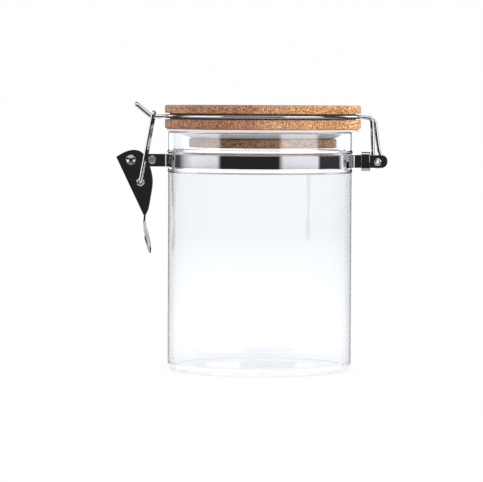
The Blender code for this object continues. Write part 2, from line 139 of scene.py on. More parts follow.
def turned_mesh(name, outline, steps, closed):
    """A solid of revolution about +Z from (radius, height) points."""
    shape = bmesh.new()
    verts = [shape.verts.new((r, 0.0, z)) for r, z in outline]
    pairs = list(zip(verts, verts[1:]))
    if closed:
        pairs.append((verts[-1], verts[0]))
    edges = [shape.edges.new(pair) for pair in pairs]
    bmesh.ops.spin(
        shape,
        geom=verts + edges,
        cent=(0, 0, 0),
        axis=(0, 0, 1),
        angle=2 * math.pi,
        steps=steps,
        use_duplicate=False,
    )
    return finished(shape, name)


def held(outline, closed):
    """Adds a point close to both ends of each long straight run, so that it is shaded as straight."""
    points = []
    stops = outline[1:] + outline[:1] if closed else outline[1:]
    for start, stop in zip(outline, stops):
        a, b = Vector(start), Vector(stop)
        points.append(a)
        length = (b - a).length
        if length > 8 * HOLD:
            points += [a.lerp(b, HOLD / length), b.lerp(a, HOLD / length)]
    return points if closed else points + [Vector(outline[-1])]


def turned(name, outline, shader, body, place, steps=ROUND_STEPS, closed=False, across=0):
    """Places a solid of revolution; across = 1 or -1 lays its axis along -Y or +Y."""
    mesh = turned_mesh(name, held(outline, closed), steps, closed)
    mesh.transform(Matrix.Translation(place) @ Matrix.Rotation(math.radians(90.0 * across), 4, "X"))
    return add(name, mesh, shader, body)


def sheet(name, rows, closed=False):
    """A surface through rows of points; closed joins the last row to the first."""
    shape = bmesh.new()
    verts = [[shape.verts.new(point) for point in row] for row in rows]
    pairs = list(zip(verts, verts[1:]))
    if closed:
        pairs.append((verts[-1], verts[0]))
    for low, high in pairs:
        for i in range(len(low) - 1):
            shape.faces.new((low[i], low[i + 1], high[i + 1], high[i]))
    mesh = mesh_from(shape, name)
    smooth(mesh)
    return mesh


def thicken(made, thickness):
    grow = made.modifiers.new("Sheet", "SOLIDIFY")
    grow.thickness = thickness
    grow.offset = 0.0
    grow.use_even_offset = True


def soften(made, width, segments=3, angle=35.0):
    bevel = made.modifiers.new("Edges", "BEVEL")
    bevel.width = width
    bevel.segments = segments
    bevel.limit_method = "ANGLE"
    bevel.angle_limit = math.radians(angle)
    bevel.harden_normals = False
    made.data.set_sharp_from_angle(angle=math.radians(60.0))


def prism(name, outline, half_thickness):
    """A flat (x, z) outline thickened along Y."""
    shape = bmesh.new()
    near = [shape.verts.new((x, -half_thickness, z)) for x, z in outline]
    far = [shape.verts.new((x, half_thickness, z)) for x, z in outline]
    shape.faces.new(near)
    shape.faces.new(far[::-1])
    count = len(outline)
    for i in range(count):
        j = (i + 1) % count
        shape.faces.new((near[i], far[i], far[j], near[j]))
    bmesh.ops.recalc_face_normals(shape, faces=shape.faces)
    return mesh_from(shape, name)


def pin_tool(name, place, radius, half_length):
    """A round bar along Y, for cutting a hole."""
    outline = [(0.0, half_length), (radius, half_length), (radius, -half_length), (0.0, -half_length)]
    mesh = turned_mesh(name, outline, PIN_STEPS, False)
    mesh.transform(Matrix.Translation(place) @ Matrix.Rotation(math.radians(90.0), 4, "X"))
    return bpy.data.objects.new(name, mesh)


def cut(made, tool, operation="DIFFERENCE"):
    """Applies one Boolean at once, so that the tool can be thrown away."""
    objects = bpy.context.scene.collection.objects
    objects.link(tool)
    step = made.modifiers.new("Cut", "BOOLEAN")
    step.operation = operation
    step.object = tool
    bake(made)
    objects.unlink(tool)


def evaluated_mesh(made):
    bpy.context.view_layer.update()
    graph = bpy.context.evaluated_depsgraph_get()
    return bpy.data.meshes.new_from_object(made.evaluated_get(graph))


def bake(made):
    """Replaces an object's mesh by its evaluated one and drops the modifiers."""
    mesh = evaluated_mesh(made)
    made.modifiers.clear()
    made.data = mesh


def wire(name, points, radius, shader, body):
    """A round wire with flat ends along a path."""
    curve = bpy.data.curves.new(name, "CURVE")
    curve.dimensions = "3D"
    curve.bevel_depth = radius
    curve.bevel_resolution = 6
    curve.use_fill_caps = True
    spline = curve.splines.new("POLY")
    spline.points.add(len(points) - 1)
    for point, place in zip(spline.points, points):
        point.co = (*place, 1.0)
    spline.use_smooth = True
    made = add(name, curve, shader)
    mesh = evaluated_mesh(made)
    bpy.data.objects.remove(made, do_unlink=True)
    shape = bmesh.new()
    shape.from_mesh(mesh)
    return add(name, finished(shape, name), shader, body)


# ---- material helpers ----


class Graph:
    """A short way to write a node material."""

    def __init__(self, owner):
        owner.use_nodes = True
        self.owner = owner
        self.tree = owner.node_tree
        self.shader = self.tree.nodes.get("Principled BSDF")

    def node(self, kind, **values):
        made = self.tree.nodes.new(kind)
        for key, value in values.items():
            setattr(made, key, value)
        return made

    def link(self, source, target):
        self.tree.links.new(source, target)

    def put(self, node, name, value):
        """Sets an input, or links it when the value is a socket."""
        if isinstance(value, bpy.types.NodeSocket):
            self.link(value, node.inputs[name])
        else:
            node.inputs[name].default_value = value

    def place(self, scale=(1.0, 1.0, 1.0), turn=(0.0, 0.0, 0.0)):
        """Object coordinates, scaled and turned."""
        source = self.node("ShaderNodeTexCoord")
        mapping = self.node("ShaderNodeMapping")
        mapping.inputs["Scale"].default_value = scale
        mapping.inputs["Rotation"].default_value = turn
        self.link(source.outputs["Object"], mapping.inputs["Vector"])
        return mapping.outputs["Vector"]

    def noise(self, vector, scale, detail=3.0, rough=0.5):
        made = self.node("ShaderNodeTexNoise")
        self.put(made, "Vector", vector)
        self.put(made, "Scale", scale)
        self.put(made, "Detail", detail)
        self.put(made, "Roughness", rough)
        return made.outputs["Fac"]

    def ramp(self, value, stops):
        made = self.node("ShaderNodeValToRGB")
        elements = made.color_ramp.elements
        elements[0].position, elements[1].position = stops[0][0], stops[-1][0]
        elements[0].color, elements[1].color = (*stops[0][1], 1.0), (*stops[-1][1], 1.0)
        for at, colour in stops[1:-1]:
            elements.new(at).color = (*colour, 1.0)
        self.link(value, made.inputs["Fac"])
        return made.outputs["Color"]

    def turn_ramp(self, turn, stops):
        """Grey levels by the turn round the jar: stops are (degrees, level), and turn runs from -1 to 1."""
        stops = [(degrees / 360 + 0.5, (level, level, level * 1.03)) for degrees, level in stops]
        return self.ramp(self.math("MULTIPLY_ADD", turn, 0.5, 0.5), stops)

    def math(self, operation, a, b=0.0, c=0.0, clamp=False):
        made = self.node("ShaderNodeMath", operation=operation, use_clamp=clamp)
        for i, value in enumerate((a, b, c)):
            if isinstance(value, bpy.types.NodeSocket):
                self.link(value, made.inputs[i])
            else:
                made.inputs[i].default_value = value
        return made.outputs[0]

    def mix(self, kind, factor, a, b):
        made = self.node("ShaderNodeMix", data_type="RGBA", blend_type=kind)
        for socket, value in ((0, factor), (6, a), (7, b)):
            if isinstance(value, bpy.types.NodeSocket):
                self.link(value, made.inputs[socket])
            else:
                made.inputs[socket].default_value = value if socket == 0 else (*value[:3], 1.0)
        return made.outputs[2]

    def bump(self, height, strength, distance):
        made = self.node("ShaderNodeBump")
        self.put(made, "Height", height)
        made.inputs["Strength"].default_value = strength
        made.inputs["Distance"].default_value = distance
        self.link(made.outputs["Normal"], self.shader.inputs["Normal"])

    def blend_over(self, other, factor):
        """Lays another shader over what is there."""
        surface = next(n for n in self.tree.nodes if n.type == "OUTPUT_MATERIAL").inputs["Surface"]
        blend = self.node("ShaderNodeMixShader")
        self.put(blend, "Fac", factor)
        self.link(surface.links[0].from_socket, blend.inputs[1])
        self.link(other, blend.inputs[2])
        self.link(blend.outputs["Shader"], surface)

    def outer_side(self, amount):
        """amount on faces seen from outside, and 0 on those seen from within the solid."""
        geometry = self.node("ShaderNodeNewGeometry")
        return self.math("MULTIPLY_ADD", geometry.outputs["Backfacing"], -amount, amount)

    def facing_axis(self):
        """1 on faces that look towards the jar's axis, 0 on those that look away from it."""
        source = self.node("ShaderNodeTexCoord")
        flat = self.node("ShaderNodeVectorMath", operation="MULTIPLY")
        self.link(source.outputs["Object"], flat.inputs[0])
        flat.inputs[1].default_value = (1.0, 1.0, 0.0)
        unit = self.node("ShaderNodeVectorMath", operation="NORMALIZE")
        self.link(flat.outputs["Vector"], unit.inputs[0])
        geometry = self.node("ShaderNodeNewGeometry")
        dot = self.node("ShaderNodeVectorMath", operation="DOT_PRODUCT")
        self.link(unit.outputs["Vector"], dot.inputs[0])
        self.link(geometry.outputs["Normal"], dot.inputs[1])
        return self.math("MULTIPLY_ADD", dot.outputs["Value"], -4.0, -2.0, clamp=True)

    def set(self, **values):
        for key, value in values.items():
            self.put(self.shader, key.replace("_", " "), value)


def glass_material():
    """Clear borosilicate: real refraction, a faint cool tint and a very slight drawn waviness."""
    g = Graph(bpy.data.materials.new("clear_glass"))
    waves = g.noise(g.place((1.0, 1.0, 0.25)), 38.0, 2.0)
    tint = g.ramp(waves, [(0.35, (0.985, 0.992, 1.0)), (0.65, (0.972, 0.985, 1.0))])
    g.set(Base_Color=tint, Roughness=0.0, IOR=1.47, Transmission_Weight=1.0)
    g.bump(waves, 0.05, 0.2 * MM)
    sheen = g.node("ShaderNodeBsdfGlossy")
    sheen.inputs["Roughness"].default_value = 0.02
    g.blend_over(sheen.outputs["BSDF"], g.outer_side(0.14))
    # most of the light caught inside the base leaves it after a few bounces
    path = g.node("ShaderNodeLightPath")
    height = g.node("ShaderNodeSeparateXYZ")
    g.link(g.place(), height.inputs["Vector"])
    in_base = g.math("LESS_THAN", height.outputs["Z"], BASE_ROUND)
    caught = g.math("GREATER_THAN", path.outputs["Glossy Depth"], 1.5)
    clear = g.node("ShaderNodeBsdfTransparent")
    g.blend_over(clear.outputs["BSDF"], g.math("MULTIPLY", g.math("MULTIPLY", in_base, caught), 0.6))
    return g.owner


GRAIN_TURN = math.radians(22.0)
STRIP_LENGTH = 310 * MM
STRIP_WIDTH = 20.5 * MM
STRIP_JOINT = 0.12 * MM
PAINTED_LIGHT_SPAN = 107 * MM  # the painted light and shade run across the lid over this width


def bamboo_material():
    """Bamboo with its fibres along one level direction: speckled where they end and streaked along them."""
    g = Graph(bpy.data.materials.new("bamboo_board"))
    turn = (0.0, 0.0, GRAIN_TURN)
    fibres = g.noise(g.place((1.0, 0.045, 0.75), turn), 2100.0, 0.0, 0.5)
    bundles = g.noise(g.place((1.0, 0.03, 1.0), turn), 800.0, 2.0, 0.55)
    patches = g.noise(g.place((1.0, 0.12, 1.6), turn), 42.0, 2.0)
    wide = g.noise(g.place((1.0, 0.3, 1.0), turn), 14.0, 1.0)
    strips = g.node("ShaderNodeTexBrick")
    strips.offset = 0.45
    g.put(strips, "Vector", g.place((1.0, 1.0, 0.0), (0.0, 0.0, GRAIN_TURN + math.radians(90.0))))
    g.put(strips, "Color1", (0.86, 0.86, 0.86, 1.0))
    g.put(strips, "Color2", (1.08, 1.06, 1.04, 1.0))
    g.put(strips, "Mortar", (0.7, 0.64, 0.58, 1.0))
    g.put(strips, "Scale", 1.0)
    g.put(strips, "Mortar Size", STRIP_JOINT)
    g.put(strips, "Mortar Smooth", 0.5)
    g.put(strips, "Brick Width", STRIP_LENGTH)
    g.put(strips, "Row Height", STRIP_WIDTH)
    base = g.ramp(
        patches,
        [(0.3, (0.37, 0.17, 0.075)), (0.5, (0.45, 0.225, 0.105)), (0.7, (0.53, 0.285, 0.14))],
    )
    base = g.mix("MULTIPLY", 0.6, base, strips.outputs["Color"])
    light = g.ramp(wide, [(0.35, (0.9, 0.9, 0.92)), (0.65, (1.1, 1.06, 1.0))])
    base = g.mix("MULTIPLY", 1.0, base, light)
    across = g.node("ShaderNodeSeparateXYZ")
    g.link(g.place(), across.inputs["Vector"])
    # painted light, shade and sheen: the lid is painted darker and greyer towards -X and brighter towards +X,
    # where the light falls
    painted_side_light = g.ramp(
        g.math("MULTIPLY_ADD", across.outputs["X"], 1 / PAINTED_LIGHT_SPAN, 0.5),
        [
            (0.0, (0.58, 0.62, 0.8)),
            (0.3, (0.66, 0.63, 0.7)),
            (0.5, (0.86, 0.86, 1.02)),
            (0.75, (1.3, 1.46, 1.5)),
            (0.93, (1.26, 1.44, 1.46)),
            (1.0, (1.5, 1.7, 1.7)),
        ],
    )
    base = g.mix("MULTIPLY", 1.0, base, painted_side_light)
    pores = g.ramp(fibres, [(0.3, (0.32, 0.24, 0.19)), (0.5, (0.95, 0.93, 0.91)), (0.7, (1.95, 1.9, 1.8))])
    # the fibres end at the sides; on the flat faces they only streak
    facing = g.node("ShaderNodeSeparateXYZ")
    g.link(g.node("ShaderNodeTexCoord").outputs["Normal"], facing.inputs["Vector"])
    flat = g.math("ABSOLUTE", facing.outputs["Z"])
    base = g.mix("MULTIPLY", g.math("MULTIPLY_ADD", flat, -0.6, 1.0), base, pores)
    veins = g.ramp(bundles, [(0.38, (0.82, 0.77, 0.72)), (0.52, (1.0, 1.0, 1.0)), (0.68, (1.1, 1.09, 1.07))])
    base = g.mix("MULTIPLY", 0.3, base, veins)
    # painted shade: mirrored in the wires, the bamboo is painted a near-black grey
    path = g.node("ShaderNodeLightPath")
    clear = g.math("LESS_THAN", path.outputs["Transmission Depth"], 0.5)
    base = g.mix("MIX", g.math("MULTIPLY", path.outputs["Is Glossy Ray"], clear), base, (0.03, 0.03, 0.032))
    g.set(Base_Color=base, Specular_IOR_Level=0.35)
    g.set(Roughness=g.math("MULTIPLY_ADD", fibres, 0.2, 0.42))
    g.bump(fibres, 0.25, 0.12 * MM)
    return g.owner


def silicone_material():
    """Milky silicone with faint clouding and moulding texture."""
    g = Graph(bpy.data.materials.new("milky_silicone"))
    clouds = g.noise(g.place(), 60.0, 2.0)
    fine = g.noise(g.place(), 1500.0, 2.0)
    base = g.ramp(clouds, [(0.35, (0.79, 0.765, 0.76)), (0.65, (0.86, 0.835, 0.83))])
    g.set(Base_Color=base, Subsurface_Weight=0.25, Subsurface_Radius=(0.002, 0.002, 0.002))
    g.set(Roughness=g.math("MULTIPLY_ADD", fine, 0.15, 0.33), Specular_IOR_Level=0.45)
    g.bump(fine, 0.1, 0.05 * MM)
    return g.owner


def steel_material(name, roughness, brush, tint=(0.4, 0.405, 0.42), relief=0.03, pale_inside=False):
    """Polished stainless with rolling marks along brush, faint smears and fine scratches."""
    g = Graph(bpy.data.materials.new(name))
    marks = g.noise(g.place(brush), 900.0, 3.0, 0.6)
    smears = g.noise(g.place(), 110.0, 3.0)
    scratches = g.noise(g.place((1.0, 1.0, 0.15), (0.5, 0.3, 0.7)), 2600.0, 2.0, 0.7)
    dark = tuple(0.86 * c for c in tint)
    base = g.mix("MIX", g.math("MULTIPLY", marks, 0.7), tint, dark)
    rough = g.math("MULTIPLY_ADD", smears, 0.02, roughness)
    metallic = 1.0
    if pale_inside:
        inside = g.facing_axis()
        base = g.mix("MIX", inside, base, (0.86, 0.87, 0.88))
        metallic = g.math("MULTIPLY_ADD", inside, -0.9, 1.0)
        rough = g.math("MULTIPLY_ADD", inside, 0.5, rough)
    g.set(Base_Color=base, Metallic=metallic)
    g.set(Roughness=g.math("MULTIPLY_ADD", scratches, 0.02, rough))
    g.bump(marks, relief, 0.02 * MM)
    return g.owner


GLASS = glass_material()
BAMBOO = bamboo_material()
SILICONE = silicone_material()
EVEN = (1.0, 1.0, 1.0)
STRAP_STEEL = steel_material("strap_steel", 0.02, (1.0, 1.0, 14.0), pale_inside=True)
LEVER_STEEL = steel_material("lever_steel", 0.01, (3.0, 1.0, 1.0), relief=0.004)
WIRE_STEEL = steel_material("wire_steel", 0.01, EVEN, (0.6, 0.605, 0.62), relief=0.006)
RIVET_STEEL = steel_material("rivet_steel", 0.05, EVEN, (0.8, 0.8, 0.81))
PIVOT_STEEL = steel_material("pivot_rivet_steel", 0.08, EVEN, (0.5, 0.5, 0.51))
DULL_STEEL = steel_material("dull_rivet_steel", 0.4, EVEN, (0.8, 0.8, 0.81))

# ---- jar ----


def add_jar():
    """One thick wall with a rounded rim and base, and a bead above and below the strap."""
    inner = JAR_RADIUS - JAR_WALL
    rim = JAR_WALL / 2
    floor_z = 2.5 * MM
    floor_round = 3.0 * MM
    points = [(0.0, floor_z), (inner - floor_round, floor_z)]
    points += arc((inner - floor_round, floor_z + floor_round), floor_round, -90, 0, 12)[1:]
    points += arc((inner + rim, JAR_TOP.z - rim), rim, 180, 0, 14)
    bead_half = 1.05 * MM
    upper = STRAP_TOP.z + 1.55 * MM
    lower = STRAP_LOW.z - 1.9 * MM
    for height, proud in ((upper, BEAD_PROUD), (lower, 0.4 * MM)):
        for i in range(13):
            t = 1.0 - i / 6.0
            swell = proud * (0.5 + 0.5 * math.cos(t * math.pi))
            points.append((JAR_RADIUS + swell, height + t * bead_half))
    points += arc((JAR_RADIUS - BASE_ROUND, BASE_ROUND), BASE_ROUND, 0, -90, 12)
    points.append((0.0, 0.0))
    made = turned("jar_glass", points, GLASS, "jar", Vector((0, 0, 0)))
    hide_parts("glass_jar")


# ---- lid ----


def lid_piece(name, outline, shader, node, closed=False):
    made = turned(name, outline, shader, "lid", Vector((LID_X, 0, 0)), closed=closed)
    made.data.set_sharp_from_angle(angle=math.radians(50.0))
    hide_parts(node)
    return made


def add_board():
    """The board, with the square groove that the wire ring lies in."""
    low, high = BOARD_LOW.z, BOARD_TOP.z
    groove = (low + 4.9 * MM, low + 8.4 * MM)
    groove_radius = BOARD_RADIUS - 2.7 * MM
    edge = 0.9 * MM
    lip = 0.25 * MM
    r = BOARD_RADIUS
    points = [(0.0, high), (r - 8 * MM, high)]
    points += arc((r - edge, high - edge), edge, 90, 0, 6)
    points += arc((r - lip, groove[1] + lip), lip, 0, -90, 3)
    points += arc((groove_radius + lip, groove[1] - lip), lip, 90, 180, 3)
    points += arc((groove_radius + lip, groove[0] + lip), lip, 180, 270, 3)
    points += arc((r - lip, groove[0] - lip), lip, 90, 0, 3)
    points += arc((r - edge, low + edge), edge, 0, -90, 6)
    points += [(r - 8 * MM, low), (0.0, low)]
    lid_piece("lid_top_board", points, BAMBOO, "lid_board")


def add_plug():
    """The small disc below, with a neck inside the seal."""
    r, low, high = PLUG_RADIUS, PLUG_LOW.z, SEAL_LOW.z - 0.3 * MM
    edge = 0.6 * MM
    neck = r - 4.7 * MM
    points = [(0.0, PLUG_TOP.z), (neck, PLUG_TOP.z), (neck, high)]
    points += arc((r - edge, high - edge), edge, 90, 0, 5)
    points += arc((r - edge, low + edge), edge, 0, -90, 5)
    points += [(r - 8 * MM, low), (0.0, low)]
    lid_piece("lid_inner_plug", points, BAMBOO, "lid_plug")


def add_seal():
    """The flange on the rim with two fine lips on its outside, and the cone below it."""
    top, r = SEAL_TOP.z, SEAL_RADIUS
    under = JAR_TOP.z + 0.2 * MM
    inner = PLUG_RADIUS - 4.4 * MM
    lip = 0.3 * MM
    points = [(inner, top)]
    points += arc((r - lip, top - lip), lip, 90, 0, 4)
    middle = (top + under) / 2
    points += [(r - 0.22 * MM, middle + 0.1 * MM), (r - 0.22 * MM, middle - 0.1 * MM)]
    points += arc((r - lip, under + lip), lip, 0, -90, 4)
    cone = 45.7 * MM
    points += [(cone, under), (cone - 0.3 * MM, under - 0.9 * MM), (cone - 1.0 * MM, under - 1.7 * MM)]
    points += [(PLUG_RADIUS - 1.6 * MM, SEAL_LOW.z), (inner, SEAL_LOW.z)]
    lid_piece("lid_silicone_ring", points, SILICONE, "lid_seal", closed=True)


# ---- strap ----

STRAP_THICK = 0.7 * MM
STRAP_RADIUS = JAR_RADIUS + 0.2 * MM + STRAP_THICK / 2
STRAP_BEND = 1.8 * MM
FLANGE_Y = 1.05 * MM
EAR_Y = 2.8 * MM
CORNER = 3.0 * MM
LEVER_HALF = 2.2 * MM
LEVER_SHEET = 0.6 * MM
LATCH_RIVET = Vector(((RIVET_LOW.x + RIVET_TOP.x) / 2, 0.0, LEVER_PIVOT.z))


def corner_insets(steps=8):
    """How far a rounded corner stands in from the end and from the edge."""
    angles = [math.radians(90.0 * i / steps) for i in range(steps + 1)]
    return [(CORNER * (1 - math.cos(a)), CORNER * (1 - math.sin(a))) for a in angles]


def strap_path():
    """Plan view of one half band on its middle line, from the latch end to the hinge end."""
    reach = STRAP_RADIUS + STRAP_BEND
    path = [(STRAP_LOW.x + d, FLANGE_Y) for d, _ in corner_insets()]
    rise = FLANGE_Y + STRAP_BEND
    start = math.degrees(math.asin(rise / reach))
    path += arc((-math.sqrt(reach**2 - rise**2), rise), STRAP_BEND, -90, -start, 10)
    rise = EAR_Y + STRAP_BEND
    stop = math.degrees(math.asin(rise / reach))
    path += arc((0.0, 0.0), STRAP_RADIUS, 180 - start, stop, 90)[1:-1]
    path += arc((math.sqrt(reach**2 - rise**2), rise), STRAP_BEND, 180 + stop, 270, 10)
    path += [(STRAP_TOP.x - d, EAR_Y) for d, _ in reversed(corner_insets())]
    return path


def add_strap(name, node, side):
    """One half band with flanges, on the camera's side for side -1."""
    rows = []
    for x, y in strap_path():
        depth = CORNER - min(x - STRAP_LOW.x, STRAP_TOP.x - x, CORNER)
        inset = CORNER - math.sqrt(CORNER**2 - depth**2)
        rows.append([(x, side * y, STRAP_LOW.z + inset), (x, side * y, STRAP_TOP.z - inset)])
    made = add(name, sheet(name, rows), STRAP_STEEL)
    thicken(made, STRAP_THICK)
    bake(made)
    for place, radius in ((HINGE, RIVET_HOLE), (LATCH_RIVET, RIVET_HOLE), (LEVER_PIVOT, PIVOT_HOLE)):
        cut(made, pin_tool("hole", place, radius, 6 * MM))
    soften(made, 0.14 * MM, 2)
    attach(made, "jar")
    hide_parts(node)


def add_keeper():
    """The loop of sheet round the two hinge ears."""
    thick = 0.8 * MM
    round_corner = 1.6 * MM
    half_y = (KEEPER_TOP.y - KEEPER_LOW.y - thick) / 2
    half_z = (KEEPER_TOP.z - KEEPER_LOW.z - thick) / 2
    middle = (KEEPER_LOW.z + KEEPER_TOP.z) / 2
    path = []
    for corner, (sy, sz) in enumerate(((1, 1), (-1, 1), (-1, -1), (1, -1))):
        centre = (sy * (half_y - round_corner), middle + sz * (half_z - round_corner))
        path += arc(centre, round_corner, 90 * corner, 90 * corner + 90, 8)
    rows = [[(KEEPER_LOW.x, y, z), (KEEPER_TOP.x, y, z)] for y, z in path]
    made = add("strap_keeper", sheet("strap_keeper", rows, closed=True), STRAP_STEEL)
    thicken(made, thick)
    bake(made)
    soften(made, 0.2 * MM, 3)
    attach(made, "jar")
    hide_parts("keeper_clip")


# ---- rivets ----

SIDES = ((-1, "front"), (1, "rear"))


def star_radius(angle, reach, petals, tilt):
    """Outer radius of a crimped tube whose end has split into petals."""
    wave = abs(math.cos(petals * (angle + tilt) / 2)) ** 0.5
    uneven = 0.04 * math.sin(2 * angle + tilt)
    return reach * (0.62 + 0.34 * wave + uneven * wave)


def crimp_outline(bore, tube, face, reach, lip, inner):
    """Section through a crimped end: (radius, height along the rivet)."""
    crest = face + lip
    return [
        (bore, inner),
        (bore, face - 0.1 * MM),
        (bore + 0.12 * MM, crest - 0.1 * MM),
        ((bore + reach) / 2, crest),
        (reach, face + 0.5 * lip),
        (reach - 0.1 * MM, face + 0.15 * lip),
        (tube + 0.1 * MM, face),
        (tube, face - 0.05 * MM),
        (tube, inner),
    ]


def crimped(name, place, side, bore, tube, face, reach, lip, inner, body, tilt, petals=6):
    """A tube end that is split and rolled out into petals, along side * Y."""
    outline = crimp_outline(bore, tube, face, reach, lip, inner)
    steps = 2 * PIN_STEPS
    rows = []
    for i in range(steps):
        angle = 2 * math.pi * i / steps
        star = star_radius(angle, reach, petals, tilt) / reach
        row = []
        for r, h in outline:
            spread = min(max((r - tube) / (reach - tube), 0.0), 1.0)
            radius = tube + (r - tube) * star if spread > 0 else r
            sunk = 0.5 * lip * spread * (1 - star)
            row.append((radius * math.cos(angle), radius * math.sin(angle), h - sunk))
        row.append(row[0])
        rows.append(row)
    mesh = sheet(name, rows, closed=True)
    shape = bmesh.new()
    shape.from_mesh(mesh)
    mesh = finished(shape, name)
    mesh.transform(Matrix.Translation(place) @ Matrix.Rotation(math.radians(-90.0 * side), 4, "X"))
    return add(name, mesh, RIVET_STEEL, body)


def add_hinge_rivet():
    """Both ends of the rivet through the ears."""
    face = EAR_Y + STRAP_THICK / 2 + 0.12 * MM
    first = None
    for side, label in SIDES:
        made = crimped(
            "hinge_rivet_" + label,
            HINGE,
            side,
            bore=0.75 * MM,
            tube=1.2 * MM,
            face=face,
            reach=2.1 * MM,
            lip=0.45 * MM,
            inner=0.0,
            body="jar",
            tilt=0.4 * side,
            petals=5,
        )
        first = first or made
    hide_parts("hinge_rivet")


def add_pivot_rivet():
    """A wide rivet with a rolled lip round a shallow recess at each end."""
    face = LEVER_HALF + 0.12 * MM
    recess, tube, head, lip = 1.2 * MM, 1.5 * MM, 2.7 * MM, 0.22 * MM
    upper = [(0.0, face - 0.2 * MM), (0.5 * recess, face - 0.3 * MM), (recess, face - 0.15 * MM)]
    upper.append((recess + 0.35 * MM, face + 0.05 * MM))
    upper += arc((head - lip, face + lip), lip, 140, -90, 10)
    upper += [(tube + 0.1 * MM, face), (tube, face - 0.1 * MM)]
    outline = upper + [(r, -z) for r, z in reversed(upper)]
    made = turned("lever_pivot_tube", outline, PIVOT_STEEL, "jar", LEVER_PIVOT, 2 * PIN_STEPS, across=1)
    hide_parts("lever_pivot_rivet")


def add_strap_rivet():
    """A solid rivet with low domed heads."""
    face = FLANGE_Y + STRAP_THICK / 2 + 0.1 * MM
    head, shaft, rise, edge = 2.2 * MM, 1.2 * MM, 0.5 * MM, 0.12 * MM
    upper = []
    for i in range(11):
        angle = math.radians(90.0 * i / 10)
        upper.append((head * math.sin(angle), face + edge + (rise - edge) * math.cos(angle)))
    upper += [(head - 0.08 * MM, face), (shaft, face)]
    outline = upper + [(r, -z) for r, z in reversed(upper)]
    made = turned("flange_rivet", outline, DULL_STEEL, "jar", LATCH_RIVET, 2 * PIN_STEPS, across=1)
    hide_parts("strap_rivet")


def add_spacers():
    """Short tubes that keep the two flanges apart."""
    half, outer, edge = 0.6 * MM, 2.4 * MM, 0.12 * MM
    for name, node, place, inner in (
        ("flange_rivet_spacer", "strap_rivet_spacer", LATCH_RIVET, RIVET_HOLE),
        ("lever_pivot_bush", "lever_pivot_spacer", LEVER_PIVOT, PIVOT_HOLE),
    ):
        outline = [
            (inner, half - edge),
            (inner + edge, half),
            (outer - edge, half),
            (outer, half - edge),
            (outer, edge - half),
            (outer - edge, -half),
            (inner + edge, -half),
            (inner, edge - half),
        ]
        made = turned(name, outline, RIVET_STEEL, "jar", place, PIN_STEPS, closed=True, across=1)
        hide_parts(node)


# ---- wires ----

RING_WIRE = 1.05 * MM
RING_RADIUS = (RING_TOP.y - RING_LOW.y) / 2 - RING_WIRE
RING_Z = BOARD_LOW.z + 6.6 * MM
EXIT_Z = RING_Z - 0.15 * MM
TURN = 2.5 * MM
TWIN_Y = 1.15 * MM
EYE = 2.45 * MM
LEG_TOP_Z = RING_Z - 0.5 * MM
NEAR_LEG_X = 61.1 * MM
NEAR_LEG_BEND = 2.8 * MM
FAR_LEG_X = 63.0 * MM
FAR_LEG_BEND = 4.2 * MM
NOSE_Z = RING_Z - 0.3 * MM
NOSE_BEND_X = -58.3 * MM
NOSE_BEND = 3.5 * MM
NOSE_LEAD = 3.0 * MM
NOSE_ANGLE = 40.0
NOSE_LENGTH = 8.4 * MM
NOSE_STAGGER = 0.25 * MM
NOSE_AHEAD = Vector((-math.cos(math.radians(NOSE_ANGLE)), 0.0, math.sin(math.radians(NOSE_ANGLE))))


def smoothed(points, rounds=2):
    """Cuts the corners of an open path, keeping its two ends."""
    for _ in range(rounds):
        path = [points[0]]
        for a, b in zip(points, points[1:]):
            a, b = Vector(a), Vector(b)
            path += [a.lerp(b, 0.25), a.lerp(b, 0.75)]
        path.append(points[-1])
        points = path
    return [Vector(p) for p in points]


def near_eye():
    """The eye round the hinge rivet on the camera's side, and the bend at the top of its leg."""
    centre = (NEAR_LEG_X - NEAR_LEG_BEND, LEG_TOP_Z - NEAR_LEG_BEND)
    return arc((HINGE.x, HINGE.z), EYE, 425, 180, 20) + arc(centre, NEAR_LEG_BEND, 0, 90, 8)


def far_eye():
    """The eye on the far side, whose leg stands farther out, and the wider bend at its top."""
    points = arc((HINGE.x, HINGE.z), EYE, -245, 0, 20)
    for dx, dz in ((2.2, 2.1), (1.3, 4.3), (0.4, 6.7)):
        points.append((HINGE.x + dx * MM, HINGE.z + dz * MM))
    centre = (FAR_LEG_X - FAR_LEG_BEND, LEG_TOP_Z - FAR_LEG_BEND)
    return points + arc(centre, FAR_LEG_BEND, 0, 90, 10)


def half_ring(side):
    """Half of the ring in the groove, with the turn at each end where the wire leaves the board."""
    reach = RING_RADIUS + TURN
    rise = TWIN_Y + TURN
    angle = math.degrees(math.asin(rise / reach))
    run = math.sqrt(reach**2 - rise**2)
    turn_in = arc((LID_X + run, -rise), TURN, 90, 180 - angle, 8)
    ring = arc((LID_X, 0.0), RING_RADIUS, -angle, angle - 180, 90)
    turn_out = arc((LID_X - run, -rise), TURN, angle, 90, 8)
    points = []
    for part, start, stop in (
        (turn_in, EXIT_Z, RING_Z),
        (ring[1:-1], RING_Z, RING_Z),
        (turn_out, RING_Z, EXIT_Z),
    ):
        for i, (x, y) in enumerate(part):
            points.append((x, -side * y, start + (stop - start) * i / (len(part) - 1)))
    return points


def nose_side(side):
    """From the ring out to the nose's end turn. The far side lies a little higher."""
    points = [(NOSE_BEND_X + NOSE_LEAD, side * TWIN_Y, NOSE_Z)]
    steps = 8
    bend = arc((NOSE_BEND_X, NOSE_Z + NOSE_BEND), NOSE_BEND, -90, -90 - NOSE_ANGLE, steps)
    for i, (x, z) in enumerate(bend):
        points.append((x, side * TWIN_Y, z + side * NOSE_STAGGER * i / steps))
    return points + [Vector(points[-1]) + NOSE_AHEAD * NOSE_LENGTH]


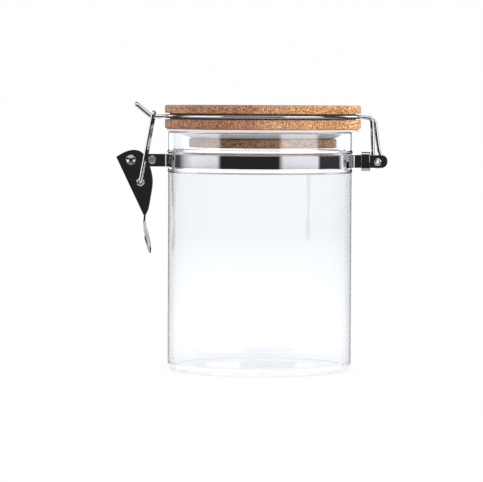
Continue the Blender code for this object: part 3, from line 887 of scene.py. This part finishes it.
def nose_end():
    """The half turn that joins the two sides of the nose."""
    near, far = nose_side(-1)[-1], nose_side(1)[-1]
    middle, half = (near + far) / 2, (far - near) / 2
    turn = arc((0.0, 0.0), 1.0, -90, 90, 12)[1:-1]
    return [middle + NOSE_AHEAD * (TWIN_Y * ahead) + half * across for ahead, across in turn]


def add_ring():
    """One wire from eye to eye: up a leg, round half the groove, out to the nose, and back the same way."""
    near = [(x, -TWIN_Y, z) for x, z in near_eye()]
    far = [(x, TWIN_Y, z) for x, z in far_eye()]
    near += half_ring(-1) + nose_side(-1)
    far += half_ring(1) + nose_side(1)
    path = smoothed(near + nose_end() + far[::-1], 1)
    made = wire("lid_wire", path, RING_WIRE, WIRE_STEEL, "bail")
    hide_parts("lid_wire_ring")


LINK_WIRE = 0.95 * MM
LINK_HALF = 3.9 * MM
LINK_TIP = LINK_PIVOT + Vector((7.05 * MM, 0.0, 38.15 * MM))


def add_link():
    """A U of wire whose feet turn in the eyelets, with its bar over the nose."""
    up = (LINK_TIP - LINK_PIVOT).normalized()
    length = (LINK_TIP - LINK_PIVOT).length
    bend, foot = 2.2 * MM, 1.3 * MM
    half = [(-1.3 * MM, 0.0)]
    half += arc((foot - LINK_HALF, foot), foot, -90, -180, 8)
    half += arc((bend - LINK_HALF, length - bend), bend, 180, 90, 8)
    whole = half + [(-y, ahead) for y, ahead in reversed(half)]
    path = [LINK_PIVOT + up * ahead + Vector((0.0, y, 0.0)) for y, ahead in whole]
    made = wire("latch_link", smoothed(path, 1), LINK_WIRE, WIRE_STEEL, "link")
    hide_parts("link_wire")


# ---- lever ----

HEEL = Vector((-8.15 * MM, 0.0, 1.55 * MM))
TOE = Vector((7.35 * MM, 0.0, -31.0 * MM))


def rounded_outline():
    """The side plate's edge as a smooth path from the toe over the crown to the heel."""
    lobe = [(9.1, -28.0), (9.9, -24.5), (10.7, -19.5), (11.6, -14.0), (11.6, -10.5)]
    lobe += [(11.05, -7.0), (10.1, -3.8), (9.1, -1.7)]
    crown = [(7.0, 2.6), (4.6, 4.8), (1.4, 5.5), (-1.8, 4.9), (-4.6, 3.7), (-7.0, 2.2)]
    path = [TOE] + [Vector((x * MM, 0.0, z * MM)) for x, z in lobe + crown] + [HEEL]
    return [(LEVER_PIVOT.x + p.x, LEVER_PIVOT.z + p.z) for p in smoothed(path, 2)]


def channel_tool():
    """The space between the side plates, open on the side away from the spine."""
    along = (TOE - HEEL).normalized()
    inward = Vector((-along.z, 0.0, along.x))
    length = (TOE - HEEL).length
    corners = []
    for ahead, across in (
        (-12 * MM, LEVER_SHEET),
        (length - 4 * MM, LEVER_SHEET),
        (length - 4 * MM, 30 * MM),
        (-12 * MM, 30 * MM),
    ):
        corner = LEVER_PIVOT + HEEL + along * ahead + inward * across
        corners.append((corner.x, corner.z))
    return bpy.data.objects.new("channel", prism("channel", corners, LEVER_HALF - LEVER_SHEET))


def tab_tool():
    """The dished finger tab, with a rounded end."""
    # x and z from the pivot, half width and bulge, all in mm
    stations = (
        (7.5, -29.6, 1.8, 0.0),
        (7.3, -32.4, 1.7, 0.0),
        (7.15, -34.6, 2.6, 0.4),
        (7.25, -38.4, 4.4, 1.2),
        (8.3, -43.0, 5.4, 1.6),
        (9.3, -46.8, 5.0, 1.2),
        (10.0, -49.4, 3.6, 0.6),
        (10.4, -51.0, 1.6, 0.1),
    )
    fine = smoothed([Vector(s[:3]) for s in stations], 2)
    bulges = smoothed([Vector((s[3], 0, 0)) for s in stations], 2)
    rows = []
    for (x, z, half), bulge in zip(fine, bulges):
        row = []
        for i in range(17):
            u = i / 8 - 1
            row.append(LEVER_PIVOT + Vector((x + bulge.x * (1 - u * u), u * half, z)) * MM)
        rows.append(row)
    made = add("tab", sheet("tab", rows), None)
    thicken(made, 0.7 * MM)
    bake(made)
    bpy.context.scene.collection.objects.unlink(made)
    return made


def add_lever():
    """A folded channel: its spine edges are bent round, and its other edges are only sheared."""
    mesh = prism("latch_handle", rounded_outline(), LEVER_HALF)
    made = add("latch_handle", mesh, LEVER_STEEL)
    heel = (LEVER_PIVOT + HEEL).xz
    toe = (LEVER_PIVOT + TOE).xz
    near = 0.01 * MM
    weights = mesh.attributes.new("bevel_weight_edge", "FLOAT", "EDGE")
    for edge in mesh.edges:
        a, b = (Vector(mesh.vertices[i].co) for i in edge.vertices)
        on_spine = all(min((end.xz - heel).length, (end.xz - toe).length) < near for end in (a, b))
        if on_spine and abs(a.y - b.y) < near:
            weights.data[edge.index].value = 1.0
    fold = made.modifiers.new("Fold", "BEVEL")
    fold.limit_method = "WEIGHT"
    fold.width = 0.9 * MM
    fold.segments = 8
    bake(made)
    cut(made, channel_tool())
    cut(made, tab_tool(), "UNION")
    cut(made, pin_tool("pivot_hole", LEVER_PIVOT, PIVOT_HOLE, 4 * MM))
    cut(made, pin_tool("eyelet_hole", LINK_PIVOT, EYELET_HOLE, 4 * MM))
    smooth(made.data)
    soften(made, 0.1 * MM, 2, 40.0)
    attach(made, "lever")
    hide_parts("latch_lever")


def add_eyelets():
    """The crimped eyelets that the link's feet turn in."""
    for side, label in SIDES:
        made = crimped(
            "eyelet_" + label,
            LINK_PIVOT,
            side,
            bore=1.05 * MM,
            tube=1.45 * MM,
            face=LEVER_HALF + 0.1 * MM,
            reach=2.3 * MM,
            lip=0.32 * MM,
            inner=LEVER_HALF - LEVER_SHEET - 0.15 * MM,
            body="lever",
            tilt=0.7 * side,
        )
        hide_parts("link_eyelet_" + label)


add_jar()
add_board()
add_plug()
add_seal()
add_strap("strap_band_front", "strap_front", -1)
add_strap("strap_band_rear", "strap_rear", 1)
add_keeper()
add_hinge_rivet()
add_pivot_rivet()
add_strap_rivet()
add_spacers()
add_ring()
add_link()
add_lever()
add_eyelets()

# ---- floor, light and camera ----

FLOOR_RADIUS = 4.15
FLOOR_DROP = 0.05 * MM
FADE_START = 55 * MM
FADE_LENGTH = 160 * MM


def add_floor():
    """A pale floor that fades to white away from the jar, so that no horizon shows."""
    shape = bmesh.new()
    bmesh.ops.create_circle(shape, cap_ends=True, segments=96, radius=FLOOR_RADIUS)
    mesh = mesh_from(shape, "floor")
    g = Graph(bpy.data.materials.new("pale_floor"))
    source = g.node("ShaderNodeTexCoord")
    length = g.node("ShaderNodeVectorMath", operation="LENGTH")
    g.link(source.outputs["Object"], length.inputs[0])
    away = g.math("SUBTRACT", length.outputs["Value"], FADE_START)
    fade = g.math("DIVIDE", away, FADE_LENGTH, clamp=True)
    fade = g.math("MULTIPLY_ADD", fade, 0.25, 0.75)
    path = g.node("ShaderNodeLightPath")
    through = g.math("MINIMUM", path.outputs["Transmission Depth"], 1.0)
    mirrored = g.math("MULTIPLY", path.outputs["Is Glossy Ray"], g.math("SUBTRACT", 1.0, through))
    # painted shade: in mirrors the floor is painted dark far off, and stays lit under the jar and straight
    # below them
    geometry = g.node("ShaderNodeNewGeometry")
    incoming = g.node("ShaderNodeSeparateXYZ")
    g.link(geometry.outputs["Incoming"], incoming.inputs["Vector"])
    below = g.math("MULTIPLY_ADD", incoming.outputs["Z"], 5.0, -1.9, clamp=True)
    close = g.math("MULTIPLY_ADD", path.outputs["Ray Length"], -50.0, 2.0, clamp=True)
    unlit = g.math("SUBTRACT", 1.0, g.math("MAXIMUM", below, close))
    darkened = g.math("MULTIPLY", mirrored, unlit)
    # painted light: rays that come through the glass see the floor glow brighter than it is, most of all near
    # the jar
    near = g.math("MULTIPLY_ADD", length.outputs["Value"], -0.3, 0.45, clamp=True)
    painted_light_lift = g.math("MULTIPLY_ADD", through, g.math("MULTIPLY_ADD", near, 0.6, 0.19), 1.0)
    level = g.math("MULTIPLY_ADD", darkened, -0.96, painted_light_lift)
    pale = g.mix("MIX", darkened, (0.97, 0.975, 0.98), (0.04, 0.04, 0.042))
    g.set(Base_Color=pale, Roughness=0.8, Specular_IOR_Level=0.1)
    white = g.node("ShaderNodeEmission")
    g.link(g.mix("MIX", through, (1.0, 1.0, 1.0), (0.985, 0.99, 1.01)), white.inputs["Color"])
    g.link(level, white.inputs["Strength"])
    g.blend_over(white.outputs["Emission"], fade)
    made = add("floor", mesh, g.owner)
    made.location.z = -FLOOR_DROP


STUDIO_TURN = 4.0


def add_studio():
    """A white backdrop, with two tall soft boxes beside the camera and a dark room between them."""
    world = bpy.data.worlds.new("studio")
    bpy.context.scene.world = world
    g = Graph(world)
    g.tree.nodes.clear()
    source = g.node("ShaderNodeTexCoord")
    split = g.node("ShaderNodeSeparateXYZ")
    g.link(source.outputs["Generated"], split.inputs["Vector"])
    x, y, z = (split.outputs[i] for i in range(3))
    # the turn from the camera's side, -1 to 1 for half a circle to the left or to the right
    turn = g.math("DIVIDE", g.math("ARCTAN2", x, g.math("MULTIPLY", y, -1.0)), math.pi)
    turn = g.math("SUBTRACT", turn, STUDIO_TURN / 180)
    dark, lit, back = 0.045, 2.1, 2.1
    around = g.turn_ramp(
        turn,
        (
            (-180, dark * 4),
            (-164, dark * 4),
            (-156, back),
            (-146, back),
            (-136, dark * 3),
            (-118, dark * 3),
            (-106, lit * 0.6),
            (-92, lit),
            (-54, lit * 0.95),
            (-49, dark),
            (23, dark),
            (29, lit),
            (75, lit),
            (79, dark * 2),
            (114, dark * 2),
            (122, back),
            (150, back),
            (158, dark),
            (180, dark),
        ),
    )
    low = g.math("MULTIPLY_ADD", z, 5.0, 3.2, clamp=True)
    high = g.math("MULTIPLY_ADD", z, -4.0, 3.0, clamp=True)
    boxes = g.mix("MIX", g.math("MULTIPLY", low, high), (0.08, 0.08, 0.085), around)
    # a light overhead, on the camera's side only
    overhead = g.math("MULTIPLY_ADD", z, 8.0, -5.4, clamp=True)
    ahead = g.math("MULTIPLY_ADD", y, -4.0, 1.2, clamp=True)
    boxes = g.mix("MIX", g.math("MULTIPLY", overhead, ahead), boxes, (2.0, 2.0, 2.05))
    path = g.node("ShaderNodeLightPath")
    # what rays see once they are inside the glass: white behind, greyer at the sides
    white = 1.27
    within = g.turn_ramp(
        turn,
        (
            (-180, white),
            (-112, white),
            (-96, 0.85),
            (-80, 0.7),
            (76, 0.3),
            (100, 0.34),
            (112, white),
            (180, white),
        ),
    )
    inside = g.math("MINIMUM", path.outputs["Transmission Depth"], 1.0)
    aside = g.math("MULTIPLY_ADD", g.math("ABSOLUTE", turn), 9.0, -3.6, clamp=True)
    steep = g.math("MULTIPLY_ADD", g.math("ABSOLUTE", z), 8.0, -1.0, clamp=True)
    aside = g.math("MAXIMUM", aside, steep)
    light = g.mix("MIX", g.math("MULTIPLY", inside, aside), boxes, within)
    # gentle light for everything that is not a mirror
    dimmed = g.mix("MULTIPLY", 1.0, boxes, (0.55, 0.55, 0.55))
    soft = g.mix("ADD", 1.0, dimmed, (0.8, 0.8, 0.83))
    after_diffuse = g.math("MINIMUM", path.outputs["Diffuse Depth"], 1.0)
    light = g.mix("MIX", after_diffuse, light, soft)
    seen = g.ramp(g.math("MULTIPLY_ADD", z, 0.5, 0.5), [(0.4, (1.0, 1.0, 1.0)), (0.62, (0.985, 0.992, 1.0))])
    colour = g.mix("MIX", path.outputs["Is Camera Ray"], light, seen)
    background = g.node("ShaderNodeBackground")
    g.link(colour, background.inputs["Color"])
    out = g.node("ShaderNodeOutputWorld")
    g.link(background.outputs["Background"], out.inputs["Surface"])


CAMERA_DISTANCE = 1.571
CAMERA_HEIGHT = 0.1493
CAMERA_TURN = math.radians(4.0)
CAMERA_PAN = math.radians(0.36)
CAMERA_PITCH = math.radians(-2.89)
CAMERA_ROLL = math.radians(0.25)
CAMERA_LENS = 214.6


def add_camera():
    data = bpy.data.cameras.new("camera")
    data.lens = CAMERA_LENS
    data.sensor_width = 36.0
    data.clip_start = 0.1
    made = add("camera", data, None)
    spot = Vector((math.sin(CAMERA_TURN), -math.cos(CAMERA_TURN), 0.0)) * CAMERA_DISTANCE
    spot.z = CAMERA_HEIGHT
    heading = Matrix.Rotation(CAMERA_TURN + CAMERA_PAN, 4, "Z")
    tilt = Matrix.Rotation(math.radians(90.0) + CAMERA_PITCH, 4, "X")
    roll = Matrix.Rotation(CAMERA_ROLL, 4, "Z")
    made.matrix_world = Matrix.Translation(spot) @ heading @ tilt @ roll
    bpy.context.scene.camera = made


add_floor()
add_studio()
add_camera()
bpy.context.scene.view_settings.view_transform = "Standard"
